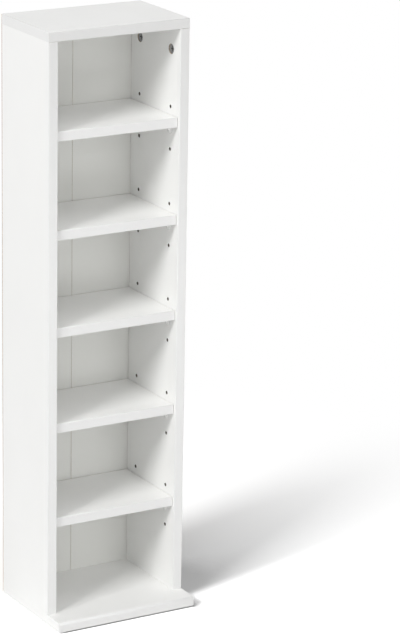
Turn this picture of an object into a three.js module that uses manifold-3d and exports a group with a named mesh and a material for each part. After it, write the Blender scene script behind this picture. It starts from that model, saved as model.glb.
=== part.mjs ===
// A free-standing CD and DVD storage tower: a narrow open cabinet of white
// coated board. Two sides stand on a base that projects in front, a top lies
// over them, five loose shelves rest on pin supports, and a folded hardboard
// back is nailed on behind.
//
// Millimetres, +Z up. X is the width and +Y points to the back. The origin is
// on the floor, under the middle of the tower.

import * as THREE from 'three';
import { mergeVertices } from 'three/addons/utils/BufferGeometryUtils.js';
import Module from 'manifold-3d';

// Cabinet boards
const overallWidth = 230;
const boardThickness = 15;
const boardDepth = 147;
const baseProjection = 38;
const bayHeight = 132;
const bottomBayHeight = 135;
const shelfCount = 5;
const edgeRadius = 1;
const baseEdgeRadius = 4;

// Clearance between pieces that fit into each other, and overrun of the cuts
const fitClearance = 0.3;
const overrun = 1;

// Loose shelves
const shelfSetback = 5;
const shelfSideGap = 0.75;
const shelfRearGap = 1;

// Columns of pin holes, drilled alike at the front and at the back
const columnInset = 27;
const holeDiameter = 5.2;
const holeDepth = 10.5;
const holePitch = 32;
const holeRows = [-1, 0, 1];

// Shelf supports: a leaf under the shelf, a plate on the side, a web and a pin
const supportWidth = 12;
const supportReach = 11;
const supportDrop = 13;
const supportLeaf = 2.2;
const supportPlate = 1.8;
const supportWeb = 2;
const supportCorner = 2;

// Cam locks, which draw the top down on the sides
const pocketDiameter = 15;
const pocketFloor = 2.7;
const camDrop = 34;
const camRecess = 1.5;
const crossLength = 8;
const crossWidth = 1.6;
const crossDepth = 1.8;
const camEntryAngle = -Math.PI / 6;
const camSlotAngle = 4 * Math.PI / 3;
const camChamberAngle = 5 * Math.PI / 3;
const camOpenShare = 0.8;
const camTightShare = 0.6;
const camSteps = 10;

// Cam bolts
const boltThreadDiameter = 5.8;
const boltThreadLength = 10.5;
const boltShaftDiameter = 7;
const boltHeadShare = 0.4;
const boltHeadLengthShare = 0.8;
const boltNeckShare = 0.5;
const boltTaperShare = 0.55;

// Dowels
const dowelDiameter = 8;
const dowelLength = 30;
const dowelChamfer = 1;
const dowelInBoard = 10;

// Screws up through the base
const screwHeadDiameter = 9.5;
const screwHeadLength = 4;
const screwShankDiameter = 7;
const screwThreadDiameter = 5;
const screwTipLength = 4;
const screwLength = 50;
const screwSocketDiameter = 4;
const screwSocketDepth = 2.5;

// Glides nailed under the base
const glideHeight = 2;
const glideDiameter = 16;
const glideEdge = 0.8;
const glideNailDiameter = 2.4;
const glideNailLength = 9;
const glideNailTip = 2;
const glideSideInset = 25;
const glideEndInset = 20;

// Folded back: two leaves and the tape that hinges them
const backThickness = 3;
const backInset = 1;
const backSeamOffset = 1.5;
const backSeamWidth = 0.8;
const tapeWidth = 24;
const tapeThickness = 0.4;
const tapeEndInset = 3;

// Steps round a full circle, and in each half of a rounded corner
const holeSides = 12;
const roundSides = 20;
const cornerSteps = 2;

// Sizes that follow from those above
const innerWidth = overallWidth - 2 * boardThickness;
const sideHeight = bottomBayHeight + shelfCount * (boardThickness + bayHeight);
const baseTop = glideHeight + boardThickness;
const sideTop = baseTop + sideHeight;
const baseDepth = baseProjection + boardDepth;
const backFace = boardDepth + backThickness;
const overallDepth = baseProjection + backFace + tapeThickness;
const shelfPitch = bayHeight + boardThickness;
const columns = { front: columnInset, rear: boardDepth - columnInset };
const pinRadius = holeDiameter / 2 - fitClearance;
const pinLength = holeDepth - fitClearance;
const pinDrop = supportLeaf + pinRadius;
const pocketDepth = boardThickness - pocketFloor;
const camRadius = pocketDiameter / 2 - fitClearance;
const camThickness = pocketDepth - fitClearance - camRecess;
const boltHeadRadius = camRadius * boltHeadShare;
const boltHeadLength = boltHeadRadius * boltHeadLengthShare;
const boltNeckRadius = boltHeadRadius * boltNeckShare;
const boltThreadRadius = boltThreadDiameter / 2;
const boltShaftRadius = boltShaftDiameter / 2;
const dowelRadius = dowelDiameter / 2;

// Coatings, plastics, metals and wood
const coatedBoard = new THREE.MeshStandardMaterial({ color: 0xf2f2f0, roughness: 0.42, metalness: 0 });
const coatedHardboard = new THREE.MeshStandardMaterial({ color: 0xe6e6e4, roughness: 0.55, metalness: 0 });
const paperTape = new THREE.MeshStandardMaterial({ color: 0xc9b28c, roughness: 0.8, metalness: 0 });
const whitePlastic = new THREE.MeshStandardMaterial({ color: 0xf4f4f2, roughness: 0.35, metalness: 0 });
const greyPlastic = new THREE.MeshStandardMaterial({ color: 0xcfcfcc, roughness: 0.5, metalness: 0 });
const castZinc = new THREE.MeshStandardMaterial({ color: 0x5a5b5e, roughness: 0.5, metalness: 0.85 });
const platedSteel = new THREE.MeshStandardMaterial({ color: 0xb4b7ba, roughness: 0.35, metalness: 0.9 });
const beech = new THREE.MeshStandardMaterial({ color: 0xd6b483, roughness: 0.7, metalness: 0 });

const wasm = await Module();
wasm.setup();

// Turns a closed geometry into a solid that can be joined and cut
function solidOf(geometry) {
  geometry.deleteAttribute('normal');
  geometry.deleteAttribute('uv');
  const merged = mergeVertices(geometry);
  const corners = merged.index.array;
  const triangles = [];
  for (let i = 0; i < corners.length; i += 3) {
    const [a, b, c] = [corners[i], corners[i + 1], corners[i + 2]];
    if (a !== b && b !== c && c !== a) triangles.push(a, b, c);
  }
  const vertProperties = new Float32Array(merged.attributes.position.array);
  const triVerts = new Uint32Array(triangles);
  return new wasm.Manifold(new wasm.Mesh({ numProp: 3, vertProperties, triVerts }));
}

// Turns a solid back into a geometry with flat faces
function geometryOf(solid) {
  const mesh = solid.getMesh();
  const geometry = new THREE.BufferGeometry();
  geometry.setAttribute('position', new THREE.BufferAttribute(mesh.vertProperties, mesh.numProp));
  geometry.setIndex(new THREE.BufferAttribute(mesh.triVerts, 1));
  const faceted = geometry.toNonIndexed();
  faceted.computeVertexNormals();
  return faceted;
}

function piece(name, solid, material) {
  const mesh = new THREE.Mesh(geometryOf(solid), material);
  mesh.name = name;
  return mesh;
}

function extrude(shape, length) {
  const options = { depth: length, bevelEnabled: false, curveSegments: cornerSteps };
  return new THREE.ExtrudeGeometry(shape, options);
}

// A closed outline through points
function outline(points) {
  return new THREE.Shape(points.map(([x, y]) => new THREE.Vector2(x, y)));
}

// A round bar that starts at the origin and runs up
function rod(radius, length, sides = roundSides) {
  const geometry = new THREE.CylinderGeometry(radius, radius, length, sides);
  geometry.rotateX(Math.PI / 2);
  geometry.translate(0, 0, length / 2);
  return geometry;
}

// A turned piece about the upright axis, from [radius, height] pairs that go
// up from the axis and back to it
function turned(profile, sides = roundSides) {
  const points = profile.map(([radius, height]) => new THREE.Vector2(radius, height));
  const geometry = new THREE.LatheGeometry(points, sides);
  geometry.rotateX(Math.PI / 2);
  return geometry;
}

// Section of a lying board, front edge first, with its two front corners
// rounded, run across the width of the tower
function lyingBoard(width, depth, upperRadius, lowerRadius) {
  const section = new THREE.Shape();
  section.moveTo(depth, 0);
  section.lineTo(depth, boardThickness);
  section.absarc(upperRadius, boardThickness - upperRadius, upperRadius, Math.PI / 2, Math.PI, false);
  section.absarc(lowerRadius, lowerRadius, lowerRadius, Math.PI, 3 * Math.PI / 2, false);
  section.closePath();
  const geometry = extrude(section, width);
  geometry.translate(0, 0, -width / 2);
  const across = new THREE.Matrix4();
  across.makeBasis(new THREE.Vector3(0, 1, 0), new THREE.Vector3(0, 0, 1), new THREE.Vector3(1, 0, 0));
  geometry.applyMatrix4(across);
  return geometry;
}

// A standing side board, centred on its thickness, front edge rounded
function standingBoard() {
  const half = boardThickness / 2;
  const section = new THREE.Shape();
  section.moveTo(half, boardDepth);
  section.lineTo(-half, boardDepth);
  section.absarc(edgeRadius - half, edgeRadius, edgeRadius, Math.PI, 3 * Math.PI / 2, false);
  section.absarc(half - edgeRadius, edgeRadius, edgeRadius, 3 * Math.PI / 2, 2 * Math.PI, false);
  section.closePath();
  return extrude(section, sideHeight);
}

// Cuts a geometry, set at a place, out of a solid
function cut(solid, geometry, x, y, z) {
  geometry.translate(x, y, z);
  return solid.subtract(solidOf(geometry));
}

// Undersides of the shelves, from the lowest up
const shelfUndersides = [];
for (let i = 0; i < shelfCount; i += 1) {
  shelfUndersides.push(baseTop + bottomBayHeight + i * shelfPitch);
}

// Supports carry a shelf with a small clearance under it
const supportTops = shelfUndersides.map((underside) => underside - fitClearance);

// Places along the depth that the joints of the sides share
const boardMiddle = boardDepth / 2;
const sideCentre = overallWidth / 2 - boardThickness / 2;
const hands = { left: -1, right: 1 };

// Turned profiles. Each has its heights from the face that it seats on.

function dowelProfile() {
  const chamferRadius = dowelRadius - dowelChamfer;
  return [
    [0, 0],
    [chamferRadius, 0],
    [dowelRadius, dowelChamfer],
    [dowelRadius, dowelLength - dowelChamfer],
    [chamferRadius, dowelLength],
    [0, dowelLength],
  ];
}

// The screw goes up from the underside of the base. A clearance widens it
// into the hole that it passes through.
function screwProfile(clearance) {
  const head = screwHeadDiameter / 2 + clearance;
  const shank = screwShankDiameter / 2 + clearance;
  const thread = screwThreadDiameter / 2 + clearance;
  const headEnd = screwHeadLength + clearance;
  const shankEnd = boardThickness + clearance;
  return [
    [0, 0],
    [head, 0],
    [shank, headEnd],
    [shank, shankEnd],
    [thread, shankEnd + shank - thread],
    [thread, screwLength - screwTipLength + clearance],
    [0, screwLength + clearance],
  ];
}

// Inner wall of the cam's chamber: it draws in as the cam turns on the head
const camOpenRadius = camRadius * camOpenShare;
const camTightRadius = camRadius * camTightShare;
const camStartAngle = camEntryAngle - (camChamberAngle - camSlotAngle) / 2;

function camWallRadius(angle) {
  const turn = (angle - camStartAngle) / camChamberAngle;
  return THREE.MathUtils.lerp(camOpenRadius, camTightRadius, turn);
}

// The rim of the locked head bears on the wall, short of its tightest place
const headBearing = Math.sqrt(camTightRadius ** 2 - boltHeadRadius ** 2);
const boltHeadTop = headBearing - fitClearance - camDrop;

// The bolt has its heights from the underside of the top, thread upward
function boltProfile() {
  const taper = boltHeadRadius * boltTaperShare;
  const headBottom = boltHeadTop - boltHeadLength;
  const shaftBottom = camRadius + fitClearance - camDrop;
  return [
    [0, headBottom],
    [taper, headBottom],
    [boltHeadRadius, headBottom + boltHeadLength / 2],
    [boltHeadRadius, boltHeadTop],
    [boltNeckRadius, boltHeadTop],
    [boltNeckRadius, shaftBottom],
    [boltShaftRadius, shaftBottom],
    [boltShaftRadius, -fitClearance],
    [boltThreadRadius, -fitClearance],
    [boltThreadRadius, boltThreadLength],
    [0, boltThreadLength],
  ];
}

function glideProfile() {
  const foot = glideDiameter / 2;
  const nail = glideNailDiameter / 2;
  return [
    [0, 0],
    [foot - glideEdge, 0],
    [foot, glideEdge],
    [foot, glideHeight],
    [nail, glideHeight],
    [nail, glideHeight + glideNailLength - glideNailTip],
    [0, glideHeight + glideNailLength],
  ];
}

// Sides, with their pin holes, cam pockets and the bores of their two ends
function makeSide(hand) {
  const innerFace = -hand * boardThickness / 2;
  let side = solidOf(standingBoard());
  const drillIn = (radius, depth, y, z, sides) => {
    const drill = rod(radius, depth + overrun, sides);
    drill.rotateY(hand * Math.PI / 2);
    side = cut(side, drill, innerFace - hand * overrun, y, z);
  };
  for (const y of Object.values(columns)) {
    for (const top of supportTops) {
      for (const row of holeRows) {
        const z = top - pinDrop + row * holePitch - baseTop;
        drillIn(holeDiameter / 2, holeDepth, y, z, holeSides);
      }
    }
    drillIn(pocketDiameter / 2, pocketDepth, y, sideHeight - camDrop, roundSides);
    const boltBore = rod(boltShaftRadius + fitClearance, camDrop + overrun);
    side = cut(side, boltBore, 0, y, sideHeight - camDrop);
    const screwBore = turned(screwProfile(fitClearance));
    side = cut(side, screwBore, 0, y, -boardThickness);
  }
  const upperDepth = dowelLength - dowelInBoard + fitClearance;
  const upperBore = rod(dowelRadius + fitClearance, upperDepth + overrun);
  side = cut(side, upperBore, 0, boardMiddle, sideHeight - upperDepth);
  const lowerBore = rod(dowelRadius + fitClearance, upperDepth + overrun);
  return cut(side, lowerBore, 0, boardMiddle, -overrun);
}

// Top, drilled from below for the bolts and dowels
function makeTop() {
  let top = solidOf(lyingBoard(overallWidth, boardDepth, edgeRadius, edgeRadius));
  for (const hand of Object.values(hands)) {
    const x = hand * sideCentre;
    for (const y of Object.values(columns)) {
      const threadBore = rod(boltThreadRadius + fitClearance, boltThreadLength + fitClearance + overrun);
      top = cut(top, threadBore, x, y, -overrun);
    }
    const dowelBore = rod(dowelRadius + fitClearance, dowelInBoard + fitClearance + overrun);
    top = cut(top, dowelBore, x, boardMiddle, -overrun);
  }
  return top;
}

// Base, with its front upper edge well rounded, drilled from above for the
// dowels and from below for the screws and glide nails
function makeBase() {
  let base = solidOf(lyingBoard(overallWidth, baseDepth, baseEdgeRadius, edgeRadius));
  for (const hand of Object.values(hands)) {
    const x = hand * sideCentre;
    for (const y of Object.values(columns)) {
      base = cut(base, turned(screwProfile(fitClearance)), x, baseProjection + y, 0);
    }
    const dowelBore = rod(dowelRadius + fitClearance, dowelInBoard + fitClearance + overrun);
    const dowelFloor = boardThickness - dowelInBoard - fitClearance;
    base = cut(base, dowelBore, x, baseProjection + boardMiddle, dowelFloor);
    for (const y of glidePlaces) {
      const nailRadius = glideNailDiameter / 2 + fitClearance;
      const nailBore = rod(nailRadius, glideNailLength + fitClearance + overrun, holeSides);
      base = cut(base, nailBore, hand * glideOffset, baseProjection + y, -overrun);
    }
  }
  return base;
}

const glideOffset = overallWidth / 2 - glideSideInset;
const glidePlaces = [glideEndInset - baseProjection, boardDepth - glideEndInset];

// A shelf, a little narrower than the bay it slides in
function makeShelf() {
  const width = innerWidth - 2 * shelfSideGap;
  const depth = boardDepth - shelfSetback - shelfRearGap;
  return solidOf(lyingBoard(width, depth, edgeRadius, edgeRadius));
}

// A moulded support on the right-hand side: the side's face is at x = 0, the
// leaf's top at z = 0, and the pin runs along +X
function makeSupport() {
  const half = supportWidth / 2;
  const face = -fitClearance;
  const reach = face - supportReach;

  const leafShape = new THREE.Shape();
  leafShape.moveTo(face, -half);
  leafShape.lineTo(face, half);
  const cornerX = reach + supportCorner;
  const cornerY = half - supportCorner;
  leafShape.absarc(cornerX, cornerY, supportCorner, Math.PI / 2, Math.PI, false);
  leafShape.absarc(cornerX, -cornerY, supportCorner, Math.PI, 3 * Math.PI / 2, false);
  leafShape.closePath();
  const leaf = extrude(leafShape, supportLeaf);
  leaf.translate(0, 0, -supportLeaf);

  const plateShape = new THREE.Shape();
  plateShape.moveTo(half, 0);
  plateShape.lineTo(-half, 0);
  plateShape.absarc(0, half - supportDrop, half, Math.PI, 2 * Math.PI, false);
  plateShape.closePath();
  const plate = extrude(plateShape, supportPlate);
  plate.rotateX(Math.PI / 2);
  plate.rotateZ(Math.PI / 2);
  plate.translate(face - supportPlate, 0, 0);

  const webEnd = reach + supportCorner;
  const webFoot = supportCorner - supportDrop;
  const web = extrude(outline([[face, 0], [webEnd, 0], [face, webFoot]]), supportWeb);
  web.rotateX(Math.PI / 2);
  web.translate(0, supportWeb / 2, 0);

  const pin = rod(pinRadius, pinLength - face, holeSides);
  pin.rotateY(Math.PI / 2);
  pin.translate(face, 0, -pinDrop);

  return [plate, web, pin].reduce((body, next) => body.add(solidOf(next)), solidOf(leaf));
}

// A cam: a cast disc with a driver cross in its face, and a chamber that takes
// the bolt's head. The side's face is at z = 0, and the cam's lies a little
// below it. Its locked bolt comes in along +Y.
function makeCam() {
  const boltPlane = -boardThickness / 2;
  const chamberHalf = boltHeadRadius + fitClearance;
  const slotHalf = boltNeckRadius + fitClearance;
  const rim = camRadius + overrun;

  const disc = rod(camRadius, camThickness);
  disc.translate(0, 0, -camRecess - camThickness);
  let cam = solidOf(disc);

  for (const [length, width] of [[crossLength, crossWidth], [crossWidth, crossLength]]) {
    const groove = new THREE.BoxGeometry(length, width, crossDepth + overrun);
    cam = cut(cam, groove, 0, 0, (overrun - crossDepth) / 2 - camRecess);
  }

  const fan = (from, sweep, radiusAt) => {
    const points = [[0, 0]];
    for (let i = 0; i <= camSteps; i += 1) {
      const angle = from + sweep * i / camSteps;
      const radius = radiusAt(angle);
      points.push([radius * Math.cos(angle), radius * Math.sin(angle)]);
    }
    return outline(points);
  };

  const chamber = extrude(fan(camStartAngle, camChamberAngle, camWallRadius), 2 * chamberHalf);
  cam = cut(cam, chamber, 0, 0, boltPlane - chamberHalf);
  const slot = extrude(fan(camEntryAngle, camSlotAngle, () => rim), 2 * slotHalf);
  cam = cut(cam, slot, 0, 0, boltPlane - slotHalf);

  const entry = new THREE.BoxGeometry(rim, 2 * chamberHalf, 2 * chamberHalf);
  entry.translate(rim / 2, 0, 0);
  entry.rotateZ(camEntryAngle);
  return cut(cam, entry, 0, 0, boltPlane);
}

function makeScrew() {
  const socketRadius = screwSocketDiameter / 2;
  const hexSides = 6;
  const socket = rod(socketRadius, screwSocketDepth + overrun, hexSides);
  return cut(solidOf(turned(screwProfile(0))), socket, 0, 0, -overrun);
}

// Assembly. Inside the cabinet group, y = 0 is the front edge of the sides.
const cabinet = new THREE.Group();
cabinet.position.y = baseProjection - overallDepth / 2;

const base = piece('base_panel', makeBase(), coatedBoard);
base.position.set(0, -baseProjection, glideHeight);
cabinet.add(base);

const top = piece('top_panel', makeTop(), coatedBoard);
top.position.set(0, 0, sideTop);
cabinet.add(top);

for (const [word, hand] of Object.entries(hands)) {
  const side = piece(`side_panel_${word}`, makeSide(hand), coatedBoard);
  side.position.set(hand * sideCentre, 0, baseTop);
  cabinet.add(side);
}

shelfUndersides.forEach((underside, i) => {
  const shelf = piece(`shelf_${i + 1}`, makeShelf(), coatedBoard);
  shelf.position.set(0, shelfSetback, underside);
  cabinet.add(shelf);
});

// Two leaves of the back, from near one outer edge to the fold
const backHeight = sideTop + boardThickness - glideHeight - 2 * backInset;
const backEdge = overallWidth / 2 - backInset;
for (const [word, hand] of Object.entries(hands)) {
  const width = backEdge - hand * backSeamOffset - backSeamWidth / 2;
  const leaf = new THREE.BoxGeometry(width, backThickness, backHeight);
  leaf.translate(0, backThickness / 2, backHeight / 2);
  const mesh = piece(`back_leaf_${word}`, solidOf(leaf), coatedHardboard);
  mesh.position.set(hand * (backEdge - width / 2), boardDepth, glideHeight + backInset);
  cabinet.add(mesh);
}

const tapeLength = backHeight - 2 * tapeEndInset;
const tape = new THREE.BoxGeometry(tapeWidth, tapeThickness, tapeLength);
const tapeMesh = piece('back_fold_tape', solidOf(tape), paperTape);
const tapeMiddle = glideHeight + backInset + backHeight / 2;
tapeMesh.position.set(backSeamOffset, backFace + tapeThickness / 2, tapeMiddle);
cabinet.add(tapeMesh);

for (const [word, hand] of Object.entries(hands)) {
  for (const [column, y] of Object.entries(columns)) {
    // The cam's face looks into the cabinet and its bolt comes from above
    const inward = new THREE.Vector3(-hand, 0, 0);
    const up = new THREE.Vector3(0, 0, 1);
    const aside = new THREE.Vector3().crossVectors(up, inward);
    const cam = piece(`cam_lock_${word}_${column}`, makeCam(), castZinc);
    cam.setRotationFromMatrix(new THREE.Matrix4().makeBasis(aside, up, inward));
    cam.position.set(hand * innerWidth / 2, y, sideTop - camDrop);
    cabinet.add(cam);

    const bolt = piece(`cam_bolt_${word}_${column}`, solidOf(turned(boltProfile())), platedSteel);
    bolt.position.set(hand * sideCentre, y, sideTop);
    cabinet.add(bolt);

    const screw = piece(`base_screw_${word}_${column}`, makeScrew(), platedSteel);
    screw.position.set(hand * sideCentre, y, glideHeight);
    cabinet.add(screw);

    supportTops.forEach((z, i) => {
      const name = `shelf_support_${i + 1}_${word}_${column}`;
      const support = piece(name, makeSupport(), whitePlastic);
      support.rotation.z = (1 - hand) * Math.PI / 2;
      support.position.set(hand * innerWidth / 2, y, z);
      cabinet.add(support);
    });
  }

  const dowelHeights = { top: sideTop + dowelInBoard - dowelLength, base: baseTop - dowelInBoard };
  for (const [end, z] of Object.entries(dowelHeights)) {
    const dowel = piece(`${end}_dowel_${word}`, solidOf(turned(dowelProfile())), beech);
    dowel.position.set(hand * sideCentre, boardMiddle, z);
    cabinet.add(dowel);
  }

  glidePlaces.forEach((y, i) => {
    const glide = piece(`glide_${word}_${['front', 'rear'][i]}`, solidOf(turned(glideProfile())), greyPlastic);
    glide.position.set(hand * glideOffset, y, 0);
    cabinet.add(glide);
  });
}

const tower = new THREE.Group();
tower.add(cabinet);

export default tower;
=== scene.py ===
# CD and DVD storage tower: white coated boards, five loose shelves on moulded
# supports, cam locks in the sides and a folded hardboard back.

import math
import bmesh
import bpy
from mathutils import Euler, Matrix, Vector


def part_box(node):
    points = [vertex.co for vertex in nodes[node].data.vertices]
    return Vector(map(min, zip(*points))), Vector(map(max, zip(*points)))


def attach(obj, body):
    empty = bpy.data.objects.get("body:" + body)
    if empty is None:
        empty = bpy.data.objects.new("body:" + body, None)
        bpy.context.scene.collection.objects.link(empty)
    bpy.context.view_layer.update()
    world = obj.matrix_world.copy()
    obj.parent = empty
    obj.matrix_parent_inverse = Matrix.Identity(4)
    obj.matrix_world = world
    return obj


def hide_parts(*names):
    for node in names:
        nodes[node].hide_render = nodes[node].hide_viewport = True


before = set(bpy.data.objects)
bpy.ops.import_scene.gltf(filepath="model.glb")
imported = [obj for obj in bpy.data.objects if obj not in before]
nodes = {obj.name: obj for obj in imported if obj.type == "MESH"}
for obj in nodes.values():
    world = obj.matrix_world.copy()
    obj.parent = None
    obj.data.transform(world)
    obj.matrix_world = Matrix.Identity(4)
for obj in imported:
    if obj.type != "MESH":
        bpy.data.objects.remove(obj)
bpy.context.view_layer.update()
hands = {"left": -1, "right": 1}  # which way along x each hand lies
columns = {"front": -0.0292, "rear": 0.0638}  # the two rows of pin holes, along the depth
shelfNumbers = range(1, 6)

# Camera

shot = {
    "place": (-2.12236, -3.893016, 1.802498),
    "turn": 0.532803,  # to the right, then downwards, then about its own axis, in radians
    "tip": 0.295945,
    "roll": 0.016741,
    "focalPixels": 3120.55,
    "imageHeight": 637,
    "sensor": 36,
    "clipEnd": 100,
}
lens = bpy.data.cameras.new("shotLens")
lens.sensor_width = shot["sensor"]
lens.lens = shot["sensor"] * shot["focalPixels"] / shot["imageHeight"]
lens.clip_end = shot["clipEnd"]
camera = bpy.data.objects.new("shot", lens)
camera.location = shot["place"]
level = Euler((math.pi / 2 - shot["tip"], 0, -shot["turn"])).to_matrix()
camera.rotation_euler = (level @ Matrix.Rotation(shot["roll"], 3, "Z")).to_euler()
bpy.context.scene.collection.objects.link(camera)
bpy.context.scene.camera = camera
print("camera stands")

# Small helpers for node trees


def addNode(tree, kind, values=None, **settings):
    node = tree.nodes.new(kind)
    for key, value in settings.items():
        setattr(node, key, value)
    for key, value in (values or {}).items():
        if isinstance(value, bpy.types.NodeSocket):
            tree.links.new(value, node.inputs[key])
        else:
            node.inputs[key].default_value = value
    return node


def calculate(tree, operation, *values):
    return addNode(tree, "ShaderNodeMath", dict(enumerate(values)), operation=operation).outputs[0]


def mixColours(tree, share, first, second):
    mix = addNode(tree, "ShaderNodeMix", {0: share, 6: first, 7: second}, data_type="RGBA")
    return mix.outputs[2]


def spread(tree, value, low, high, newLow, newHigh, **settings):
    values = {"Value": value, "From Min": low, "From Max": high, "To Min": newLow, "To Max": newHigh}
    return addNode(tree, "ShaderNodeMapRange", values, **settings).outputs[0]


def ease(tree, value, low, high):
    return spread(tree, value, low, high, 0.0, 1.0, interpolation_type="SMOOTHSTEP")


def noise(tree, place, scale, detail, roughness):
    values = {"Vector": place, "Scale": scale, "Detail": detail, "Roughness": roughness}
    return addNode(tree, "ShaderNodeTexNoise", values).outputs[0]


def openSky(tree, distance, samples):
    # How much of the sky a point sees: 1 in the open, less close to the tower
    values = {"Distance": distance}
    return addNode(tree, "ShaderNodeAmbientOcclusion", values, samples=samples).outputs["AO"]


def seenDirectly(tree):
    # 1 for the rays that show a thing, 0 for the light that it gives back to others
    rays = tree.nodes.new("ShaderNodeLightPath").outputs
    seen = calculate(tree, "MAXIMUM", rays["Is Camera Ray"], rays["Is Glossy Ray"])
    return calculate(tree, "MAXIMUM", seen, rays["Is Transmission Ray"])


def startGroup(name, inputs, outputs):
    group = bpy.data.node_groups.new(name, "ShaderNodeTree")
    for label, kind in inputs.items():
        group.interface.new_socket(label, in_out="INPUT", socket_type="NodeSocket" + kind)
    for label, kind in outputs.items():
        group.interface.new_socket(label, in_out="OUTPUT", socket_type="NodeSocket" + kind)
    return group, group.nodes.new("NodeGroupInput").outputs, group.nodes.new("NodeGroupOutput").inputs


def fillGroup(tree, group, values):
    return addNode(tree, "ShaderNodeGroup", values, node_tree=group).outputs


# Effects that several finishes share

effects = {
    "fineGrain": (2.0, 0.6),     # detail and roughness of each noise
    "coarseGrain": (1.0, 0.5),
    "clouds": (3.0, 0.55),
    "dust": (3.0, 0.65),
    "coarseScale": 0.31,         # of the fine grain's scale
    "coarseShare": 0.6,
    "dustScale": 2.7,            # of the chips' scale
    "dustShare": 0.45,
    "chipShare": 0.55,
    "cloudSpan": (0.3, 0.7),     # where the values of each effect lie, nearly all of them
    "chipSpan": (0.3, 0.7),
    "metalCloudSpan": (0.35, 0.65),
    "metalGrainSpan": (0.5, 1.1),
}

# Pearl: the very fine grain of a pressed or moulded skin, with soft clouds of tone
pearl, given, wanted = startGroup(
    "pearl",
    {"Vector": "Vector", "Grains per metre": "Float", "Clouds per metre": "Float"},
    {"Grain": "Float", "Cloud": "Float"},
)
fine = noise(pearl, given["Vector"], given["Grains per metre"], *effects["fineGrain"])
coarseScale = calculate(pearl, "MULTIPLY", given["Grains per metre"], effects["coarseScale"])
coarse = noise(pearl, given["Vector"], coarseScale, *effects["coarseGrain"])
coarse = calculate(pearl, "MULTIPLY", coarse, effects["coarseShare"])
cloud = noise(pearl, given["Vector"], given["Clouds per metre"], *effects["clouds"])
pearl.links.new(calculate(pearl, "ADD", fine, coarse), wanted["Grain"])
pearl.links.new(cloud, wanted["Cloud"])

# Hairline: a thin line where one coordinate passes a place, such as a glue line
hairline, given, wanted = startGroup(
    "hairline", {"Position": "Float", "At": "Float", "Width": "Float"}, {"Line": "Float"}
)
aside = calculate(hairline, "SUBTRACT", given["Position"], given["At"])
aside = calculate(hairline, "DIVIDE", calculate(hairline, "ABSOLUTE", aside), given["Width"])
aside = calculate(hairline, "MINIMUM", aside, 1.0)
hairline.links.new(calculate(hairline, "SUBTRACT", 1.0, aside), wanted["Line"])

# Band: all that lies on one side of a place along one coordinate, such as an edge band
bandZone, given, wanted = startGroup(
    "bandZone",
    {"Position": "Float", "At": "Float", "Way": "Float", "Blend": "Float"},
    {"Band": "Float"},
)
ahead = calculate(bandZone, "SUBTRACT", given["At"], given["Position"])
ahead = calculate(bandZone, "MULTIPLY", ahead, given["Way"])
bandZone.links.new(spread(bandZone, ahead, 0.0, given["Blend"], 0.0, 1.0), wanted["Band"])

# Flakes: pressed chips or fibres in many tones, with dust between them
flakes, given, wanted = startGroup(
    "flakes",
    {"Vector": "Vector", "Chips per metre": "Float", "Stretch": "Vector"},
    {"Tone": "Float", "Relief": "Float"},
)
stretched = addNode(
    flakes, "ShaderNodeVectorMath", {0: given["Vector"], 1: given["Stretch"]}, operation="MULTIPLY"
).outputs[0]
chips = addNode(
    flakes, "ShaderNodeTexVoronoi",
    {"Vector": stretched, "Scale": given["Chips per metre"], "Randomness": 1.0},
).outputs
dustScale = calculate(flakes, "MULTIPLY", given["Chips per metre"], effects["dustScale"])
dust = noise(flakes, stretched, dustScale, *effects["dust"])
chipTone = addNode(flakes, "ShaderNodeSeparateColor", {0: chips["Color"]}).outputs[0]
chipTone = calculate(flakes, "MULTIPLY", chipTone, effects["chipShare"])
dustTone = calculate(flakes, "MULTIPLY", dust, effects["dustShare"])
flakes.links.new(calculate(flakes, "ADD", chipTone, dustTone), wanted["Tone"])
flakes.links.new(calculate(flakes, "SUBTRACT", dust, chips["Distance"]), wanted["Relief"])


# Finishes


def startFinish(name):
    material = bpy.data.materials.new(name)
    material.use_nodes = True
    tree = material.node_tree
    place = tree.nodes.new("ShaderNodeTexCoord").outputs["Object"]
    return material, tree, tree.nodes["Principled BSDF"], place


def addBump(tree, shader, height, strength, distance):
    values = {"Height": height, "Strength": strength, "Distance": distance}
    tree.links.new(addNode(tree, "ShaderNodeBump", values).outputs[0], shader.inputs["Normal"])


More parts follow.
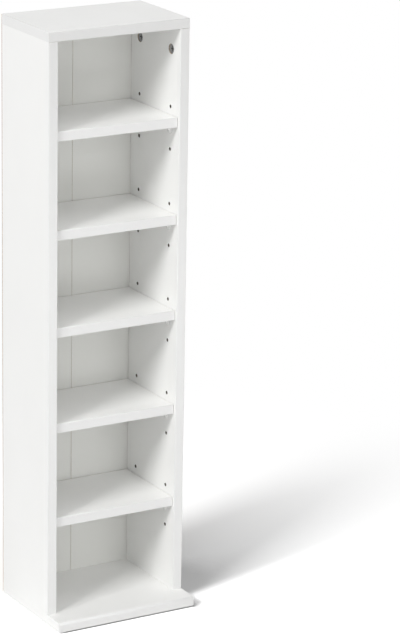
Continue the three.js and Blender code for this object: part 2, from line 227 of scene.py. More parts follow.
def skinFinish(name, look, seams=()):
    # A pressed or moulded skin, with a glue line wherever an edge band meets a face.
    # A seam gives its axis and place, 1 for a band below that place or -1 for one
    # above it, the band's tone and, where it differs, its painted shade higher up
    material, tree, shader, place = startFinish(name)
    skin = fillGroup(tree, pearl, {
        "Vector": place, "Grains per metre": look["grains"], "Clouds per metre": look["clouds"],
    })
    colour = mixColours(tree, skin["Cloud"], look["light"], look["dark"])
    relief = skin["Grain"]
    if seams:
        axes = addNode(tree, "ShaderNodeSeparateXYZ", {0: place}).outputs
        line = 0.0
        for axis, at, way, tone, *shadeAloft in seams:
            # A darker tone higher up is painted shade: the band greys towards the top, where the front
            # light falls off
            if shadeAloft:
                paintedShadeRise = spread(tree, axes["Z"], *look["paintedShadeRise"], 0.0, 1.0)
                tone = mixColours(tree, paintedShadeRise, tone, *shadeAloft)
            values = {"Position": axes[axis], "At": at}
            nextLine = fillGroup(tree, hairline, {**values, "Width": look["seam"]})["Line"]
            zone = fillGroup(tree, bandZone, {**values, "Way": way, "Blend": look["blend"]})["Band"]
            line = calculate(tree, "MAXIMUM", line, nextLine)
            colour = mixColours(tree, zone, colour, tone)
        shade = calculate(tree, "MULTIPLY", line, look["seamShade"])
        colour = mixColours(tree, shade, colour, look["glue"])
        relief = calculate(tree, "SUBTRACT", relief, calculate(tree, "MULTIPLY", line, look["seamDepth"]))
    tree.links.new(colour, shader.inputs["Base Color"])
    gloss = spread(tree, skin["Cloud"], *effects["cloudSpan"], look["shiny"], look["matt"])
    tree.links.new(gloss, shader.inputs["Roughness"])
    addBump(tree, shader, relief, look["bump"], look["relief"])
    shader.inputs["IOR"].default_value = look["ior"]
    shader.inputs["Coat Weight"].default_value = look.get("coat", 0.0)
    return material


def flakeFinish(name, look):
    material, tree, shader, place = startFinish(name)
    chip = fillGroup(tree, flakes, {
        "Vector": place, "Chips per metre": look["chips"], "Stretch": look["stretch"],
    })
    share = spread(tree, chip["Tone"], *effects["chipSpan"], 0.0, 1.0)
    tree.links.new(mixColours(tree, share, look["dark"], look["light"]), shader.inputs["Base Color"])
    gloss = spread(tree, chip["Tone"], *effects["chipSpan"], look["matt"], look["shiny"])
    tree.links.new(gloss, shader.inputs["Roughness"])
    addBump(tree, shader, chip["Relief"], look["bump"], look["relief"])
    return material


def metalFinish(name, look):
    material, tree, shader, place = startFinish(name)
    skin = fillGroup(tree, pearl, {
        "Vector": place, "Grains per metre": look["grains"], "Clouds per metre": look["clouds"],
    })
    share = spread(tree, skin["Cloud"], *effects["metalCloudSpan"], 0.0, 1.0)
    tree.links.new(mixColours(tree, share, look["light"], look["dark"]), shader.inputs["Base Color"])
    gloss = spread(tree, skin["Grain"], *effects["metalGrainSpan"], look["shiny"], look["matt"])
    tree.links.new(gloss, shader.inputs["Roughness"])
    shader.inputs["Metallic"].default_value = look["metal"]
    addBump(tree, shader, skin["Grain"], look["bump"], look["relief"])
    return material


boardLook = {
    "light": (0.905, 0.905, 0.892, 1),
    "dark": (0.885, 0.885, 0.872, 1),
    "glue": (0.42, 0.40, 0.36, 1),
    "grains": 2600.0,
    "clouds": 14.0,
    "shiny": 0.36,
    "matt": 0.46,
    "bump": 0.12,
    "relief": 0.0002,
    "ior": 1.48,
    "blend": 0.00005,      # over how far a face's tone turns into the band's
    "paintedShadeRise": (0.52, 0.90),  # between which heights a band's tone turns into its painted shade higher up
    "seam": 0.00010,
    "seamShade": 0.45,
    "seamDepth": 1.5,
}
wrapLook = {"blend": 0.0035, "seamShade": 0.0, "seamDepth": 0.0}  # foil without a glue line
# Edge band tones: partly the bands' own greyer tone, partly painted shade that dims the front faces under
# the lamps
bandTonesWithPaintedShade = {
    "side": (0.80, 0.80, 0.792, 1),
    "sideAloftPaintedShade": (0.715, 0.715, 0.707, 1),
    "topFrontWithPaintedShade": (0.71, 0.71, 0.702, 1),
    "topEnd": (0.815, 0.815, 0.807, 1),
    "base": (0.77, 0.77, 0.762, 1),
    "shelf": (0.785, 0.785, 0.777, 1),
}
band = 0.001   # thickness of the edge band
wrapWithPaintedShade = 0.0045  # how far the foil turns round the base's front edge, carrying painted shade over the rounding
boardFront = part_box("side_panel_left")[0].y
topLow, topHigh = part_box("top_panel")
baseLow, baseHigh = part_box("base_panel")
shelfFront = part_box("shelf_1")[0].y
sideSkin = skinFinish("sideSkin", boardLook, [
    ("Y", boardFront + band, 1, bandTonesWithPaintedShade["side"], bandTonesWithPaintedShade["sideAloftPaintedShade"]),
])
topSkin = skinFinish("topSkin", boardLook, [
    ("X", topLow.x + band, 1, bandTonesWithPaintedShade["topEnd"]),
    ("X", topHigh.x - band, -1, bandTonesWithPaintedShade["topEnd"]),
    # The top's front band is darkest: painted shade, for the front light falling off at the top
    ("Y", boardFront + band, 1, bandTonesWithPaintedShade["topFrontWithPaintedShade"]),
])
# The base's darker band covers its whole rounded front edge: partly the foil's own tone, partly painted
# shade that damps the light the rounding catches
baseSkin = skinFinish("baseSkin", {**boardLook, **wrapLook}, [
    ("Y", baseLow.y + wrapWithPaintedShade, 1, bandTonesWithPaintedShade["base"]),
])
shelfSkin = skinFinish("shelfSkin", boardLook, [
    ("Y", shelfFront + band, 1, bandTonesWithPaintedShade["shelf"]),
])

chipCore = flakeFinish("chipCore", {
    "light": (0.64, 0.55, 0.44, 1),
    "dark": (0.36, 0.29, 0.22, 1),
    "chips": 620.0,
    "stretch": (1.0, 1.0, 2.2),
    "shiny": 0.75,
    "matt": 0.95,
    "bump": 0.6,
    "relief": 0.0006,
})
# Painted shade: the pin holes' walls are the same chipboard as the pockets', given a near-black tone for
# the shade deep in the holes
pinHolePaintedShade = flakeFinish("pinHolePaintedShade", {
    "light": (0.20, 0.175, 0.15, 1),
    "dark": (0.07, 0.06, 0.05, 1),
    "chips": 900.0,
    "stretch": (1.0, 1.0, 1.0),
    "shiny": 0.75,
    "matt": 0.95,
    "bump": 0.6,
    "relief": 0.0004,
})
backFoil = skinFinish("backFoil", {
    "light": (0.875, 0.878, 0.850, 1),
    "dark": (0.855, 0.858, 0.828, 1),
    "grains": 1500.0,
    "clouds": 9.0,
    "shiny": 0.50,
    "matt": 0.60,
    "bump": 0.16,
    "relief": 0.0003,
    "ior": 1.46,
})
rawHardboard = flakeFinish("rawHardboard", {
    "light": (0.46, 0.32, 0.19, 1),
    "dark": (0.30, 0.195, 0.11, 1),
    "chips": 900.0,
    "stretch": (1.0, 1.0, 0.35),
    "shiny": 0.62,
    "matt": 0.82,
    "bump": 0.35,
    "relief": 0.0003,
})
kraftTape = flakeFinish("kraftTape", {
    "light": (0.62, 0.49, 0.32, 1),
    "dark": (0.50, 0.38, 0.235, 1),
    "chips": 480.0,
    "stretch": (1.0, 1.0, 0.12),
    "shiny": 0.55,
    "matt": 0.72,
    "bump": 0.25,
    "relief": 0.0002,
})
beechWood = flakeFinish("beechWood", {
    "light": (0.66, 0.46, 0.28, 1),
    "dark": (0.50, 0.32, 0.17, 1),
    "chips": 700.0,
    "stretch": (1.0, 1.0, 0.08),
    "shiny": 0.60,
    "matt": 0.80,
    "bump": 0.3,
    "relief": 0.0002,
})
mouldedWhite = skinFinish("mouldedWhite", {
    "light": (0.95, 0.95, 0.94, 1),
    "dark": (0.92, 0.92, 0.91, 1),
    "grains": 3800.0,
    "clouds": 120.0,
    "shiny": 0.20,
    "matt": 0.30,
    "coat": 1.0,
    "bump": 0.10,
    "relief": 0.0001,
    "ior": 1.5,
})
mouldedGrey = skinFinish("mouldedGrey", {
    "light": (0.62, 0.62, 0.60, 1),
    "dark": (0.55, 0.55, 0.53, 1),
    "grains": 3000.0,
    "clouds": 90.0,
    "shiny": 0.42,
    "matt": 0.55,
    "bump": 0.15,
    "relief": 0.0001,
    "ior": 1.5,
})
castZinc = metalFinish("castZinc", {
    "light": (0.44, 0.44, 0.445, 1),
    "dark": (0.30, 0.30, 0.305, 1),
    "grains": 2400.0,
    "clouds": 160.0,
    "shiny": 0.42,
    "matt": 0.62,
    "metal": 0.85,
    "bump": 0.35,
    "relief": 0.0002,
})
# Painted shade for the cams' recessed cross: a near-black zinc, far darker than the casting
camGroovePaintedShade = metalFinish("camGroovePaintedShade", {
    "light": (0.13, 0.13, 0.132, 1),
    "dark": (0.06, 0.06, 0.06, 1),
    "grains": 2400.0,
    "clouds": 300.0,
    "shiny": 0.60,
    "matt": 0.80,
    "metal": 0.4,
    "bump": 0.35,
    "relief": 0.0002,
})
platedSteel = metalFinish("platedSteel", {
    "light": (0.62, 0.63, 0.65, 1),
    "dark": (0.48, 0.49, 0.50, 1),
    "grains": 3200.0,
    "clouds": 220.0,
    "shiny": 0.22,
    "matt": 0.38,
    "metal": 1.0,
    "bump": 0.12,
    "relief": 0.0001,
})
print("finishes are mixed")

# Small helpers for meshes

tolerances = {
    "spin": 0.0000002,   # points nearer than this become one after a spin,
    "model": 0.000001,   # in a modelled mesh,
    "cut": 0.000003,     # and after a cut, where thinner slivers go too
    "bend": 0.01,        # faces that bend less than this are one plane
    "square": 0.9999,    # a normal this near an axis looks straight along it
    "near": 0.00001,     # a point this near a plane lies on it
}


def boxOf(low, high):
    bm = bmesh.new()
    bmesh.ops.create_cube(bm, size=1)
    bmesh.ops.scale(bm, vec=high - low, verts=bm.verts)
    bmesh.ops.translate(bm, vec=(low + high) / 2, verts=bm.verts)
    return bm


def roundEdges(bm, edges, radius, steps):
    bmesh.ops.bevel(
        bm, geom=edges, offset=radius, offset_type="OFFSET", segments=steps,
        profile=0.5, affect="EDGES", clamp_overlap=True, material=-1,
    )


def sharpEdges(bm, angle):
    return [edge for edge in bm.edges if len(edge.link_faces) == 2 and edge.calc_face_angle(0) > angle]


def edgesAt(bm, axis, value):
    # The edges on the plane where one coordinate has this value
    return [
        edge for edge in bm.edges
        if all(abs(getattr(vert.co, axis) - value) < tolerances["near"] for vert in edge.verts)
    ]


def turned(profile, steps):
    # Spins a chain of (radius, height) points round the upright axis
    bm = bmesh.new()
    chain = [bm.verts.new((radius, 0, height)) for radius, height in profile]
    for first, second in zip(chain, chain[1:]):
        bm.edges.new((first, second))
    bmesh.ops.spin(
        bm, geom=bm.verts[:] + bm.edges[:], cent=(0, 0, 0), axis=(0, 0, 1),
        angle=2 * math.pi, steps=steps, use_merge=True,
    )
    bmesh.ops.remove_doubles(bm, verts=bm.verts, dist=tolerances["spin"])
    bmesh.ops.recalc_face_normals(bm, faces=bm.faces)
    return bm


def putInto(target, bm, matrix):
    bmesh.ops.transform(bm, matrix=matrix, verts=bm.verts)
    carrier = bpy.data.meshes.new("carrier")
    bm.to_mesh(carrier)
    bm.free()
    target.from_mesh(carrier)
    bpy.data.meshes.remove(carrier)


def makeObject(name, bm, finishes):
    mesh = bpy.data.meshes.new(name)
    bm.to_mesh(mesh)
    bm.free()
    for finish in finishes:
        mesh.materials.append(finish)
    piece = bpy.data.objects.new(name, mesh)
    bpy.context.scene.collection.objects.link(piece)
    return piece


def carve(piece, cutter):
    # Cuts the cutter's shape out of the piece and keeps the cutter's finish on the new walls
    step = piece.modifiers.new("carve", "BOOLEAN")
    step.operation = "DIFFERENCE"
    step.solver = "EXACT"
    step.object = cutter
    bpy.context.view_layer.update()
    shown = piece.evaluated_get(bpy.context.evaluated_depsgraph_get())
    carved = bpy.data.meshes.new_from_object(shown)
    bm = bmesh.new()
    bm.from_mesh(carved)
    bmesh.ops.remove_doubles(bm, verts=bm.verts, dist=tolerances["cut"])
    bmesh.ops.dissolve_degenerate(bm, dist=tolerances["cut"], edges=bm.edges)
    bm.to_mesh(carved)
    bm.free()
    piece.modifiers.clear()
    old = piece.data
    piece.data = carved
    carved.name = old.name
    bpy.data.meshes.remove(old)
    bpy.data.objects.remove(cutter)


def smooth(piece, angle, flatSlots=()):
    # Rounded strips shade softly, while flat faces and the rims of holes stay crisp
    bm = bmesh.new()
    bm.from_mesh(piece.data)

    def isFlat(face):
        straight = max(abs(part) for part in face.normal) > tolerances["square"]
        return straight and face.material_index in flatSlots

    for face in bm.faces:
        face.smooth = True
    for edge in bm.edges:
        bend = edge.calc_face_angle(0) if len(edge.link_faces) == 2 else math.pi
        meetsFlat = any(isFlat(face) for face in edge.link_faces)
        edge.smooth = bend < (tolerances["bend"] if meetsFlat else angle)
    bm.to_mesh(piece.data)
    bm.free()


def finishPiece(piece, body, slot, *replaced):
    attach(piece, body)
    if replaced:
        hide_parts(*replaced)
    return piece


# Boards

boards = {
    "edge": 0.001,        # radius of the banded front edges
    "baseEdge": 0.004,    # radius of the base's front upper edge
    "edgeSteps": 5,
    "arris": 0.00025,     # radius of all the other edges
    "arrisSteps": 2,
    "rearArris": 0.0006,  # chipped rear edges of the sides
    "rearSteps": 1,
    "corner": 1.0,        # an edge that bends more than this gets an arris
    "upright": 0.1,       # an edge that rises more than this runs up the board
    "bare": 0.999,        # how squarely a face has to look a way to be bare there
    "bareRear": 0.6,      # the same at the sides' rear, chipped edges among them
    "crease": 0.55,
}
bores = {
    "steps": 28,
    "overrun": 0.0005,
    "mouth": {"pin": 0.0001, "pocket": 0.0002},  # how far the skin is broken back
    "pin": (0.0026, 0.0105),      # radius and depth of each kind of bore
    "pocket": (0.0075, 0.0123),
    "boltThread": (0.0032, 0.0108),
    "nail": (0.0015, 0.0093),
    "pinPitch": 0.032,
    "pinDrop": 0.0048,            # how far a support's hole lies below its shelf
    "camDrop": 0.034,             # how far a cam lies below the side's upper end
    "bolt": 0.0038,               # radius of the bores for bolts and for dowels
    "dowel": 0.0043,
    "dowelInSide": 0.0203,
    "dowelInBoard": 0.0103,
    "dowelAlong": 0.0173,         # where the dowels stand, along the depth
    "screw": [
        (0, 0), (0.00505, 0), (0.0038, 0.0043), (0.0038, 0.0153),
        (0.0028, 0.0163), (0.0028, 0.0463), (0, 0.0503),
    ],
    "screwOverrun": 0.00005,
}
glides = {"across": 0.09, "along": {"front": -0.0742, "rear": 0.0708}}
pointing = {  # turns that lay a bore's axis along a direction
    "up": Matrix.Identity(4),
    "down": Matrix.Rotation(math.pi, 4, "X"),
    "left": Matrix.Rotation(-math.pi / 2, 4, "Y"),
    "right": Matrix.Rotation(math.pi / 2, 4, "Y"),
}
skinSlot, rawSlot, pinShadeSlot = range(3)  # the order of the finishes on a board


def bore(cutters, radius, depth, way, place, mouth=0.0, core=rawSlot):
    # A drilled hole from its mouth at the place, with the skin broken back a little round it
    over = bores["overrun"]
    lip = [(radius, -over)]
    if mouth:
        lip = [(radius + mouth, -over), (radius + mouth, 0), (radius, mouth)]
    hole = turned([(0, -over), *lip, (radius, depth), (0, depth)], bores["steps"])
    for face in hole.faces:
        face.material_index = core
    putInto(cutters, hole, Matrix.Translation(place) @ pointing[way])


def screwBore(cutters, place):
    putInto(cutters, turned(bores["screw"], bores["steps"]), Matrix.Translation(place))


def cutterOf(cutters):
    # The wall of a bore shows raw board, never its skin
    for face in cutters.faces:
        face.material_index = max(face.material_index, rawSlot)
    return makeObject("cutter", cutters, [sideSkin, chipCore, pinHolePaintedShade])


def rawEdges(bm, ways, share):
    # Faces that look one of these ways are not banded: bare chipboard
    for face in bm.faces:
        if any(face.normal.dot(Vector(way)) > share for way in ways):
            face.material_index = rawSlot


def board(name, node, skin, frontRadii):
    low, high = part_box(node)
    bm = boxOf(low, high)
    for height, radius in zip((high.z, low.z), frontRadii):
        atHeight = edgesAt(bm, "z", height)
        front = [edge for edge in edgesAt(bm, "y", low.y) if edge in atHeight]
        roundEdges(bm, front, radius, boards["edgeSteps"])
    roundEdges(bm, sharpEdges(bm, boards["corner"]), boards["arris"], boards["arrisSteps"])
    rawEdges(bm, [(0, 1, 0)], boards["bare"])
    return makeObject(name, bm, [skin, chipCore])


def uprightEdges(bm, y):
    # The edges at this depth that run up the board
    return [
        edge for edge in edgesAt(bm, "y", y)
        if abs(edge.verts[0].co.z - edge.verts[1].co.z) > boards["upright"]
    ]


def sideBoard(name, node):
    low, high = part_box(node)
    bm = boxOf(low, high)
    roundEdges(bm, uprightEdges(bm, low.y), boards["edge"], boards["edgeSteps"])
    roundEdges(bm, uprightEdges(bm, high.y), boards["rearArris"], boards["rearSteps"])
    roundEdges(bm, sharpEdges(bm, boards["corner"]), boards["arris"], boards["arrisSteps"])
    rawEdges(bm, [(0, 1, 0)], boards["bareRear"])
    rawEdges(bm, [(0, 0, 1), (0, 0, -1)], boards["bare"])
    return makeObject(name, bm, [sideSkin, chipCore, pinHolePaintedShade])


sideLow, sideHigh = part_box("side_panel_left")
sideCentre = (sideHigh.x - sideLow.x) / 2 - sideHigh.x  # how far out the middle of a side lies
dowelAlong = bores["dowelAlong"]
for hand, sign in hands.items():
    side = sideBoard("side_board_" + hand, "side_panel_" + hand)
    inner = sign * abs(sideHigh.x)
    facing, upright = bmesh.new(), bmesh.new()
    for y in columns.values():
        for number in shelfNumbers:
            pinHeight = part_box("shelf_%d" % number)[0].z - bores["pinDrop"]
            for row in (-1, 0, 1):
                place = (inner, y, pinHeight + row * bores["pinPitch"])
                bore(facing, *bores["pin"], hand, place, bores["mouth"]["pin"], pinShadeSlot)
        camPlace = (inner, y, sideHigh.z - bores["camDrop"])
        bore(facing, *bores["pocket"], hand, camPlace, bores["mouth"]["pocket"])
        bore(upright, bores["bolt"], bores["camDrop"], "down", (sign * sideCentre, y, sideHigh.z))
        screwBore(upright, (sign * sideCentre, y, baseLow.z))
    for way, height in (("down", sideHigh.z), ("up", sideLow.z)):
        place = (sign * sideCentre, dowelAlong, height)
        bore(upright, bores["dowel"], bores["dowelInSide"], way, place)
    carve(side, cutterOf(facing))
    carve(side, cutterOf(upright))
    smooth(side, boards["crease"], (skinSlot,))
    finishPiece(side, "cabinet", "coated_board", "side_panel_" + hand)
print("sides are drilled")

top = board("top_board", "top_panel", topSkin, (boards["edge"], boards["edge"]))
drilled = bmesh.new()
for sign in hands.values():
    for y in columns.values():
        bore(drilled, *bores["boltThread"], "up", (sign * sideCentre, y, topLow.z))
    place = (sign * sideCentre, dowelAlong, topLow.z)
    bore(drilled, bores["dowel"], bores["dowelInBoard"], "up", place)
carve(top, cutterOf(drilled))
smooth(top, boards["crease"], (skinSlot,))
finishPiece(top, "cabinet", "coated_board", "top_panel")

base = board("base_board", "base_panel", baseSkin, (boards["baseEdge"], boards["edge"]))
drilled = bmesh.new()
for sign in hands.values():
    for y in columns.values():
        screwBore(drilled, (sign * sideCentre, y, baseLow.z - bores["screwOverrun"]))
    place = (sign * sideCentre, dowelAlong, baseHigh.z)
    bore(drilled, bores["dowel"], bores["dowelInBoard"], "down", place)
    for y in glides["along"].values():
        bore(drilled, *bores["nail"], "up", (sign * glides["across"], y, baseLow.z))
carve(base, cutterOf(drilled))
smooth(base, boards["crease"], (skinSlot,))
finishPiece(base, "cabinet", "coated_board", "base_panel")

for number in shelfNumbers:
    node = "shelf_%d" % number
    shelf = board("shelf_board_%d" % number, node, shelfSkin, (boards["edge"], boards["edge"]))
    smooth(shelf, boards["crease"], (skinSlot,))
    finishPiece(shelf, node, "shelf_board", node)
print("boards are cut")

# Folded back

backPanel = {
    "arris": 0.00035,
    "steps": 3,
    "coated": -0.9,  # the leaf is coated where its normal's y is under this
    "crease": 0.4,
}
for hand in hands:
    leaf = boxOf(*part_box("back_leaf_" + hand))
    roundEdges(leaf, leaf.edges[:], backPanel["arris"], backPanel["steps"])
    for face in leaf.faces:
        face.material_index = skinSlot if face.normal.y < backPanel["coated"] else rawSlot
    leaf = makeObject("back_board_" + hand, leaf, [backFoil, rawHardboard])
    smooth(leaf, backPanel["crease"], (skinSlot, rawSlot))
    finishPiece(leaf, "cabinet", "coated_hardboard", "back_leaf_" + hand)

foldStrip = {
    "inset": 0.0002,
    "thickness": 0.0002,
    "fold": 0.0006,      # how far its middle is pressed back
    "endInset": 0.001,
}
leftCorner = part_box("back_leaf_left")[1]    # the left leaf's highest corner
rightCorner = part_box("back_leaf_right")[0]  # and the right leaf's lowest, across the fold
stripFront = rightCorner.y + foldStrip["inset"]
stripRear = stripFront + foldStrip["thickness"]
strip = boxOf(
    Vector((leftCorner.x, stripFront, rightCorner.z + foldStrip["endInset"])),
    Vector((rightCorner.x, stripRear, leftCorner.z - foldStrip["endInset"])),
)
foldMiddle = ((leftCorner.x + rightCorner.x) / 2, 0, 0)
everything = strip.verts[:] + strip.edges[:] + strip.faces[:]
ridge = bmesh.ops.bisect_plane(strip, geom=everything, plane_co=foldMiddle, plane_no=(1, 0, 0))
ridge = [part for part in ridge["geom_cut"] if isinstance(part, bmesh.types.BMVert)]
bmesh.ops.translate(strip, vec=(0, foldStrip["fold"], 0), verts=ridge)
strip = makeObject("back_fold_crease", strip, [backFoil])
finishPiece(strip, "cabinet", "coated_hardboard")

nails = {
    "profile": [
        (0, 0.0004), (0.0011, 0.00036), (0.0017, 0.00016), (0.00175, 0),
        (0.0006, -0.0002), (0.0006, -0.0105), (0, -0.012),
    ],
    "steps": 14,
    "crease": 0.9,
    "sideHeights": [0.030, 0.145, 0.265, 0.385, 0.505, 0.625, 0.745, 0.865],
    "endPlaces": [-0.075, -0.030, 0.030, 0.075],
}
endHeights = ((baseLow.z + baseHigh.z) / 2, (topLow.z + topHigh.z) / 2)
nailPlaces = [(sign * sideCentre, z) for sign in hands.values() for z in nails["sideHeights"]]
nailPlaces += [(x, z) for x in nails["endPlaces"] for z in endHeights]
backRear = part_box("back_leaf_left")[1].y
allNails = bmesh.new()
for x, z in nailPlaces:
    stand = Matrix.Translation((x, backRear, z)) @ Matrix.Rotation(-math.pi / 2, 4, "X")
    putInto(allNails, turned(nails["profile"], nails["steps"]), stand)
nailPiece = makeObject("back_nails", allNails, [platedSteel])
smooth(nailPiece, nails["crease"])
finishPiece(nailPiece, "cabinet", "plated_steel")
tape = nodes["back_fold_tape"].data.materials
tape.clear()
tape.append(kraftTape)
print("back is nailed on")

# Fittings: finer copies of the modelled ones, with their sharp edges softened

supportLook = {"corner": 0.6, "radius": 0.0003, "steps": 3, "crease": 0.6}
metalLook = {"corner": 0.5, "radius": 0.00015, "steps": 2, "crease": 0.6}
camLook = {
    "corner": 0.6,
    "radius": 0.0002,
    "steps": 2,
    "crease": 0.45,
    "dish": [
        (0, -0.001), (0.0062, -0.001), (0.0062, 0),
        (0.0059, 0.0004), (0.0045, 0.0006), (0, 0.0007),
    ],
    "dishSteps": 40,
    "grooveDepth": 0.0008,   # the grooves get painted shade behind this depth
    "grooveRadius": 0.0043,  # and within this radius
}
fittings = (
    ("cam_bolt_", metalLook, platedSteel, "plated_steel"),
    ("base_screw_", metalLook, platedSteel, "plated_steel"),
    ("glide_", metalLook, mouldedGrey, "grey_plastic"),
)


def softened(name, node, look, finish):
    bm = bmesh.new()
    bm.from_mesh(nodes[node].data)
    bmesh.ops.remove_doubles(bm, verts=bm.verts, dist=tolerances["model"])
    bmesh.ops.dissolve_limit(bm, angle_limit=tolerances["bend"], verts=bm.verts, edges=bm.edges)
    roundEdges(bm, sharpEdges(bm, look["corner"]), look["radius"], look["steps"])
    piece = makeObject(name, bm, [finish])
    smooth(piece, look["crease"])
    return piece


def faceOf(node, sign):
    # The middle of the face that looks into the cabinet
    low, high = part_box(node)
    middle = (low + high) / 2
    return Vector((low.x if sign > 0 else high.x, middle.y, middle.z))


def castCam(node):
    # The casting that serves all four cams, dished, with its face moved to the origin
    face = faceOf(node, hands["right"])
    cam = softened("casting", node, camLook, castZinc)
    dish = bmesh.new()
    stand = Matrix.Translation(face) @ pointing["right"]
    putInto(dish, turned(camLook["dish"], camLook["dishSteps"]), stand)
    carve(cam, makeObject("dish", dish, [castZinc]))
    bm = bmesh.new()
    bm.from_mesh(cam.data)
    bmesh.ops.translate(bm, vec=-face, verts=bm.verts)
    bpy.data.objects.remove(cam)
    return bm


def darken(cam, centre, sign, finish):
    # Painted shade: the driver's cross and all that lies behind it get a near-black finish, for the shade
    # in the recess
    cam.data.materials.append(finish)
    grooveShadeSlot = len(cam.data.materials) - 1
    for face in cam.data.polygons:
        deep = (face.center.x - centre.x) * sign
        aside = math.hypot(face.center.y - centre.y, face.center.z - centre.z)
        if deep > camLook["grooveDepth"] and aside < camLook["grooveRadius"]:
            face.material_index = grooveShadeSlot


casting = castCam("cam_lock_right_front")
for hand, sign in hands.items():
    turn = Matrix.Rotation(0 if hand == "right" else math.pi, 4, "Z")  # left cams face the right
    for column in columns:
        place = hand + "_" + column
        for number in shelfNumbers:
            node = "shelf_support_%d_%s" % (number, place)
            support = softened("support_%d_%s" % (number, place), node, supportLook, mouldedWhite)
            finishPiece(support, "cabinet", "white_plastic", node)
        bm = casting.copy()
        centre = faceOf("cam_lock_" + place, sign)
        bmesh.ops.transform(bm, matrix=Matrix.Translation(centre) @ turn, verts=bm.verts)
        cam = makeObject("fine_cam_lock_" + place, bm, [castZinc])
        smooth(cam, camLook["crease"])
        darken(cam, centre, sign, camGroovePaintedShade)
        finishPiece(cam, "cabinet", "cast_zinc", "cam_lock_" + place)
        for kind, look, finish, slot in fittings:
            fitting = softened("fine_" + kind + place, kind + place, look, finish)
            finishPiece(fitting, "cabinet", slot, kind + place)
    for end in ("top_dowel_", "base_dowel_"):
        dowel = softened("fine_" + end + hand, end + hand, metalLook, beechWood)
        finishPiece(dowel, "cabinet", "beech", end + hand)
print("fittings are in")

# Floor and light

floorLook = {
    "half": 14.0,         # half the floor's width
    "paper": 0.88,        # what the floor gives back to the boards
    "gain": 1.69,         # how bright the overexposed floor looks
    "reach": 0.7,         # how far off the tower the floor's painted shadow deepens,
    "depth": 2.8,         # how much deeper it gets,
    "veil": 0.94,         # what the palest shadow keeps of the floor's brightness,
    "least": 0.42,        # and what the deepest keeps
    "skySamples": 24,
    "contactSamples": 8,
    "contacts": [         # painted contact shade close to the base: how far off, how deep, and the lines past which it shows
        (0.0035, 1.0, [(1, 0, 0.114, 0.014)]),
        (0.030, 0.22, [(1, 0, -0.113, 0.005)]),
        (0.045, 2.6, [(1, 0, -0.113, 0.003), (0, -1, -0.062, 0.014)]),
    ],
    "rims": [             # the painted shadow's rims: shares of x and y, offset, softness
        (-0.27, 0.963, 0.114, 0.046), (0.400, -0.917, 0.156, 0.11), (0.92, 0.38, -0.02, 0.08),
    ],
    "fadeStart": 0.25,    # from here outwards the floor turns into plain white
    "fadeEnd": 1.06,
}


def beyond(tree, axes, line):
    # Rises softly from 0 to 1 past a straight line on the floor
    acrossShare, alongShare, offset, softness = line
    across = calculate(tree, "MULTIPLY", axes["X"], acrossShare)
    along = calculate(tree, "MULTIPLY", axes["Y"], alongShare)
    past = calculate(tree, "ADD", calculate(tree, "ADD", across, along), offset)
    return ease(tree, past, 0.0, softness)


ground = bmesh.new()
bmesh.ops.create_grid(ground, x_segments=1, y_segments=1, size=floorLook["half"])
floor = makeObject("floor", ground, [])
paper = bpy.data.materials.new("floorPaper")
paper.use_nodes = True
tree = paper.node_tree
tree.nodes.clear()
place = tree.nodes.new("ShaderNodeTexCoord").outputs["Object"]
axes = addNode(tree, "ShaderNodeSeparateXYZ", {0: place}).outputs
seen = seenDirectly(tree)
outwards = addNode(tree, "ShaderNodeVectorMath", {0: place}, operation="LENGTH").outputs["Value"]
fade = ease(tree, outwards, floorLook["fadeStart"], floorLook["fadeEnd"])

# Painted shadow: for camera rays the floor's colour is darkened by ambient occlusion inside the shadow's
# rims and close to the base, on top of the lamps' own shadow
sky = openSky(tree, floorLook["reach"], floorLook["skySamples"])
sky = calculate(tree, "POWER", sky, floorLook["depth"])
sky = calculate(tree, "MAXIMUM", calculate(tree, "MULTIPLY", sky, floorLook["veil"]), floorLook["least"])
hidden = calculate(tree, "SUBTRACT", 1.0, sky)
for line in floorLook["rims"]:
    hidden = calculate(tree, "MULTIPLY", hidden, beyond(tree, axes, line))
shown = calculate(tree, "SUBTRACT", 1.0, hidden)
for distance, power, lines in floorLook["contacts"]:
    touch = openSky(tree, distance, floorLook["contactSamples"])
    lost = calculate(tree, "SUBTRACT", 1.0, calculate(tree, "POWER", touch, power))
    for line in lines:
        lost = calculate(tree, "MULTIPLY", lost, beyond(tree, axes, line))
    shown = calculate(tree, "MULTIPLY", shown, calculate(tree, "SUBTRACT", 1.0, lost))
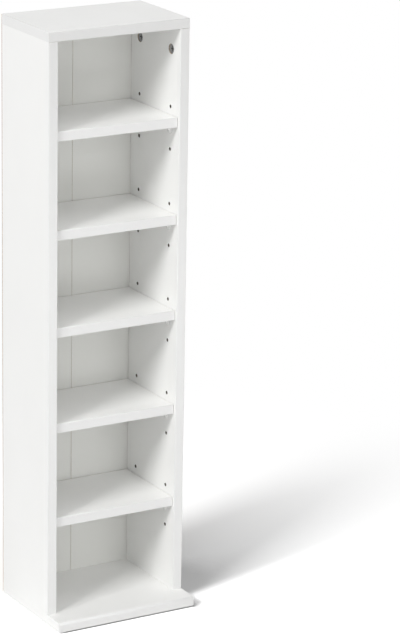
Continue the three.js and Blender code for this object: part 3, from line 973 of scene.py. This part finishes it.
shown = calculate(tree, "MULTIPLY", shown, floorLook["gain"])

tone = spread(tree, seen, 0, 1, floorLook["paper"], shown)
matt = addNode(tree, "ShaderNodeBsdfDiffuse", {"Color": tone}).outputs[0]
white = addNode(tree, "ShaderNodeEmission", {"Strength": 1.0}).outputs[0]
fade = calculate(tree, "MULTIPLY", fade, seen)
blend = addNode(tree, "ShaderNodeMixShader", {0: fade, 1: matt, 2: white})
tree.links.new(blend.outputs[0], tree.nodes.new("ShaderNodeOutputMaterial").inputs[0])
floor.data.materials.append(paper)

lamps = {
    "key": {"from": (-7.65, -3.32, 5.95), "strength": 554.0, "wide": 3.0, "high": 1.6},
    "frontLeft": {"from": (-1.8, -3.0, 2.2), "strength": 10.3, "wide": 1.5, "high": 1.5},
    "frontHigh": {"from": (0.2, -3.3, 2.6), "strength": 15.1, "wide": 1.5, "high": 1.5},
    "steep": {"from": (0.3, -1.3, 3.5), "strength": 18.6, "wide": 1.5, "high": 1.5},
    "low": {"from": (0.3, -1.3, 0.2), "strength": 1.9, "wide": 0.6, "high": 0.3},
    "rear": {"from": (0.6, 3.2, 0.5), "strength": 4.0, "wide": 1.2, "high": 0.6},
}
target = Vector((0, 0, 0.45))  # the middle of the tower, where every lamp points
worldFill = 0.293  # the studio's light on the tower, while it is seen as plain white
for name, lamp in lamps.items():
    light = bpy.data.lights.new(name, "AREA")
    light.shape = "RECTANGLE"
    light.size = lamp["wide"]
    light.size_y = lamp["high"]
    light.energy = lamp["strength"]
    stand = bpy.data.objects.new(name, light)
    stand.location = lamp["from"]
    stand.rotation_euler = (target - stand.location).to_track_quat("-Z", "Y").to_euler()
    bpy.context.scene.collection.objects.link(stand)

world = bpy.data.worlds.new("studio")
bpy.context.scene.world = world
world.use_nodes = True
tree = world.node_tree
backdrop = tree.nodes["Background"].inputs
backdrop["Color"].default_value = (1, 1, 1, 1)
tree.links.new(spread(tree, seenDirectly(tree), 0, 1, worldFill, 1), backdrop["Strength"])
bpy.context.scene.view_settings.view_transform = "Standard"
print("lights are on")
